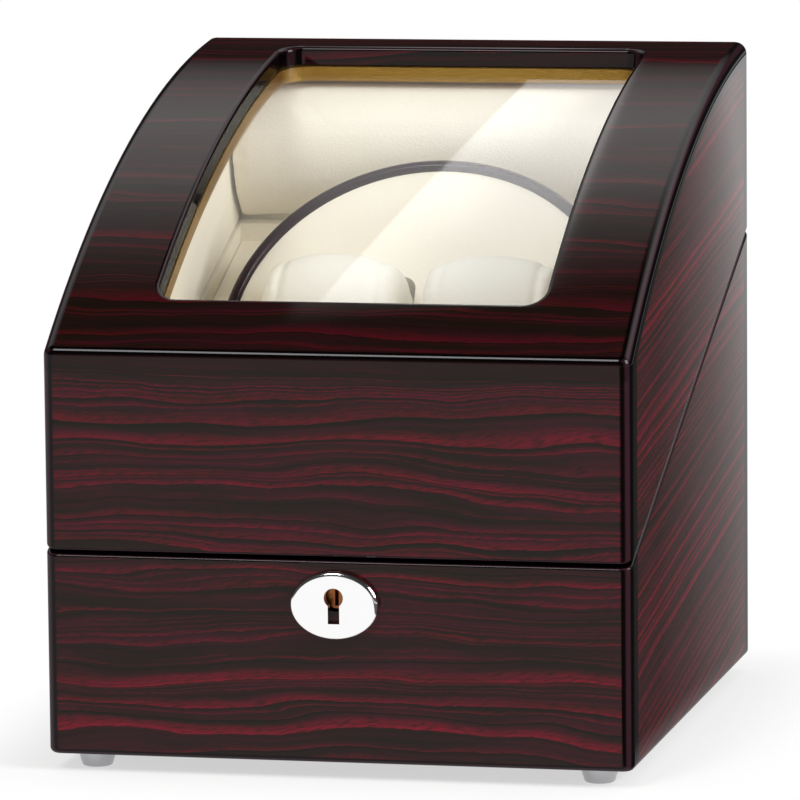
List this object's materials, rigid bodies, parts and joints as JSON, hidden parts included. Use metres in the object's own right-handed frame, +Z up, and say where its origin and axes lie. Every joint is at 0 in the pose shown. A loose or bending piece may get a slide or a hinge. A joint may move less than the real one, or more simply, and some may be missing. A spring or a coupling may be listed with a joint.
{
  "type": "watch winder box",
  "caption": "Lacquered wooden watch winder box with a curved windowed lid on rear hinges, a tilted motor-driven turntable with watch pillows, front storage pillows and a lock.",
  "frame": {"origin": "on the surface the box stands on, under the middle of the box", "axes": "+X to the right seen from the front, +Y from the front with the lock to the back with the hinges, +Z up"},
  "size_m": [0.19, 0.226, 0.2172],
  "materials": {
    "lacquered_veneer": "high-gloss clear lacquer over dark red-streaked veneer",
    "cream_lining": "fine-grained cream leather cloth",
    "cream_pillow": "soft cream leather cloth over foam",
    "clear_pane": "clear curved acrylic",
    "gold_frame": "gold-brown lacquer",
    "ebony_rim": "black gloss lacquer",
    "bright_chrome": "polished plate",
    "steel": "plain turned steel",
    "brass": "plain brass",
    "black_plastic": "fine-textured black plastic",
    "white_nylon": "moulded nylon",
    "circuit": "green circuit board",
    "silver_foot": "silver-white plastic"
  },
  "bodies": {
    "base": {"base_front_board": "lacquered_veneer", "base_back_board": "lacquered_veneer", "base_left_board": "lacquered_veneer", "base_right_board": "lacquered_veneer", "base_floor_board": "lacquered_veneer", "base_left_lining": "cream_lining", "base_right_lining": "cream_lining", "base_front_lining": "cream_lining", "base_back_lining": "cream_lining", "floor_pad": "cream_lining", "storage_dividers": "cream_lining", "tray_back_wall": "cream_lining", "tray_shelf": "cream_lining", "turntable_panel": "cream_lining", "motor_bay_cover": "cream_lining", "turntable_bush": "brass", "motor_bracket": "steel", "gearbox": "steel", "motor": "steel", "control_switches": "black_plastic", "power_inlet": "black_plastic", "control_cup": "black_plastic", "control_board": "circuit", "escutcheon": "bright_chrome", "lock_case": "steel", "base_hinge_leaves": "brass", "base_screws": "steel", "hinge_pins": "brass", "feet": "silver_foot"},
    "lid": {"lid_front_board": "lacquered_veneer", "lid_back_board": "lacquered_veneer", "lid_left_board": "lacquered_veneer", "lid_right_board": "lacquered_veneer", "lid_top_board": "lacquered_veneer", "window_pane": "clear_pane", "window_frame": "gold_frame", "lid_top_lining": "cream_lining", "lid_left_lining": "cream_lining", "lid_right_lining": "cream_lining", "lid_front_lining": "cream_lining", "lid_back_pad": "cream_lining", "lock_strike": "steel", "lid_hinge_leaves": "brass", "lid_screws": "steel"},
    "turntable": {"turntable_disc": "cream_lining", "turntable_rim": "ebony_rim", "turntable_shaft": "steel", "retaining_clip": "steel", "drive_gear": "white_nylon"},
    "pinion": {"pinion": "white_nylon", "output_shaft": "steel"},
    "pillow_left": {"pillow_left": "cream_pillow"},
    "pillow_right": {"pillow_right": "cream_pillow"},
    "storage_pillow_left": {"storage_pillow_left": "cream_pillow"},
    "storage_pillow_middle": {"storage_pillow_middle": "cream_pillow"},
    "storage_pillow_right": {"storage_pillow_right": "cream_pillow"},
    "lock_plug": {"lock_plug": "brass"},
    "lock_bolt": {"lock_bolt": "steel"},
    "mode_knob": {"mode_knob": "black_plastic"},
    "turns_knob": {"turns_knob": "black_plastic"}
  },
  "joints": [
    {"name": "lid_hinge", "type": "hinge", "parent": "base", "child": "lid", "pos_m": [0, 0.1115, 0.1538], "axis": [-1, 0, 0], "range_deg": [0, 95]},
    {"name": "turntable_spin", "type": "hinge", "parent": "base", "child": "turntable", "pos_m": [0, 0.018, 0.1265], "axis": [0, -0.766, 0.6428], "continuous": true},
    {"name": "pinion_spin", "type": "hinge", "parent": "base", "child": "pinion", "pos_m": [0, 0.00032, 0.10543], "axis": [0, -0.766, 0.6428], "continuous": true},
    {"name": "pillow_left_pull", "type": "slide", "parent": "turntable", "child": "pillow_left", "axis": [0, -0.766, 0.6428], "range_m": [0, 0.015]},
    {"name": "pillow_right_pull", "type": "slide", "parent": "turntable", "child": "pillow_right", "axis": [0, -0.766, 0.6428], "range_m": [0, 0.015]},
    {"name": "storage_pillow_left_lift", "type": "slide", "parent": "base", "child": "storage_pillow_left", "axis": [0, 0, 1], "range_m": [0, 0.04]},
    {"name": "storage_pillow_middle_lift", "type": "slide", "parent": "base", "child": "storage_pillow_middle", "axis": [0, 0, 1], "range_m": [0, 0.04]},
    {"name": "storage_pillow_right_lift", "type": "slide", "parent": "base", "child": "storage_pillow_right", "axis": [0, 0, 1], "range_m": [0, 0.04]},
    {"name": "lock_plug_turn", "type": "hinge", "parent": "base", "child": "lock_plug", "pos_m": [0, -0.1, 0.0589], "axis": [0, 1, 0], "range_deg": [0, 90]},
    {"name": "lock_bolt_slide", "type": "slide", "parent": "base", "child": "lock_bolt", "axis": [1, 0, 0], "range_m": [0, 0.005]},
    {"name": "mode_knob_turn", "type": "hinge", "parent": "base", "child": "mode_knob", "pos_m": [-0.019, 0.1, 0.045], "axis": [0, 1, 0], "range_deg": [0, 270]},
    {"name": "turns_knob_turn", "type": "hinge", "parent": "base", "child": "turns_knob", "pos_m": [0.019, 0.1, 0.045], "axis": [0, 1, 0], "range_deg": [0, 270]}
  ],
  "couplings": [
    {"joint": "pinion_spin", "follows": "turntable_spin", "ratio": -2.6667},
    {"joint": "lock_bolt_slide", "follows": "lock_plug_turn", "m_per_rad": 0.00318}
  ]
}
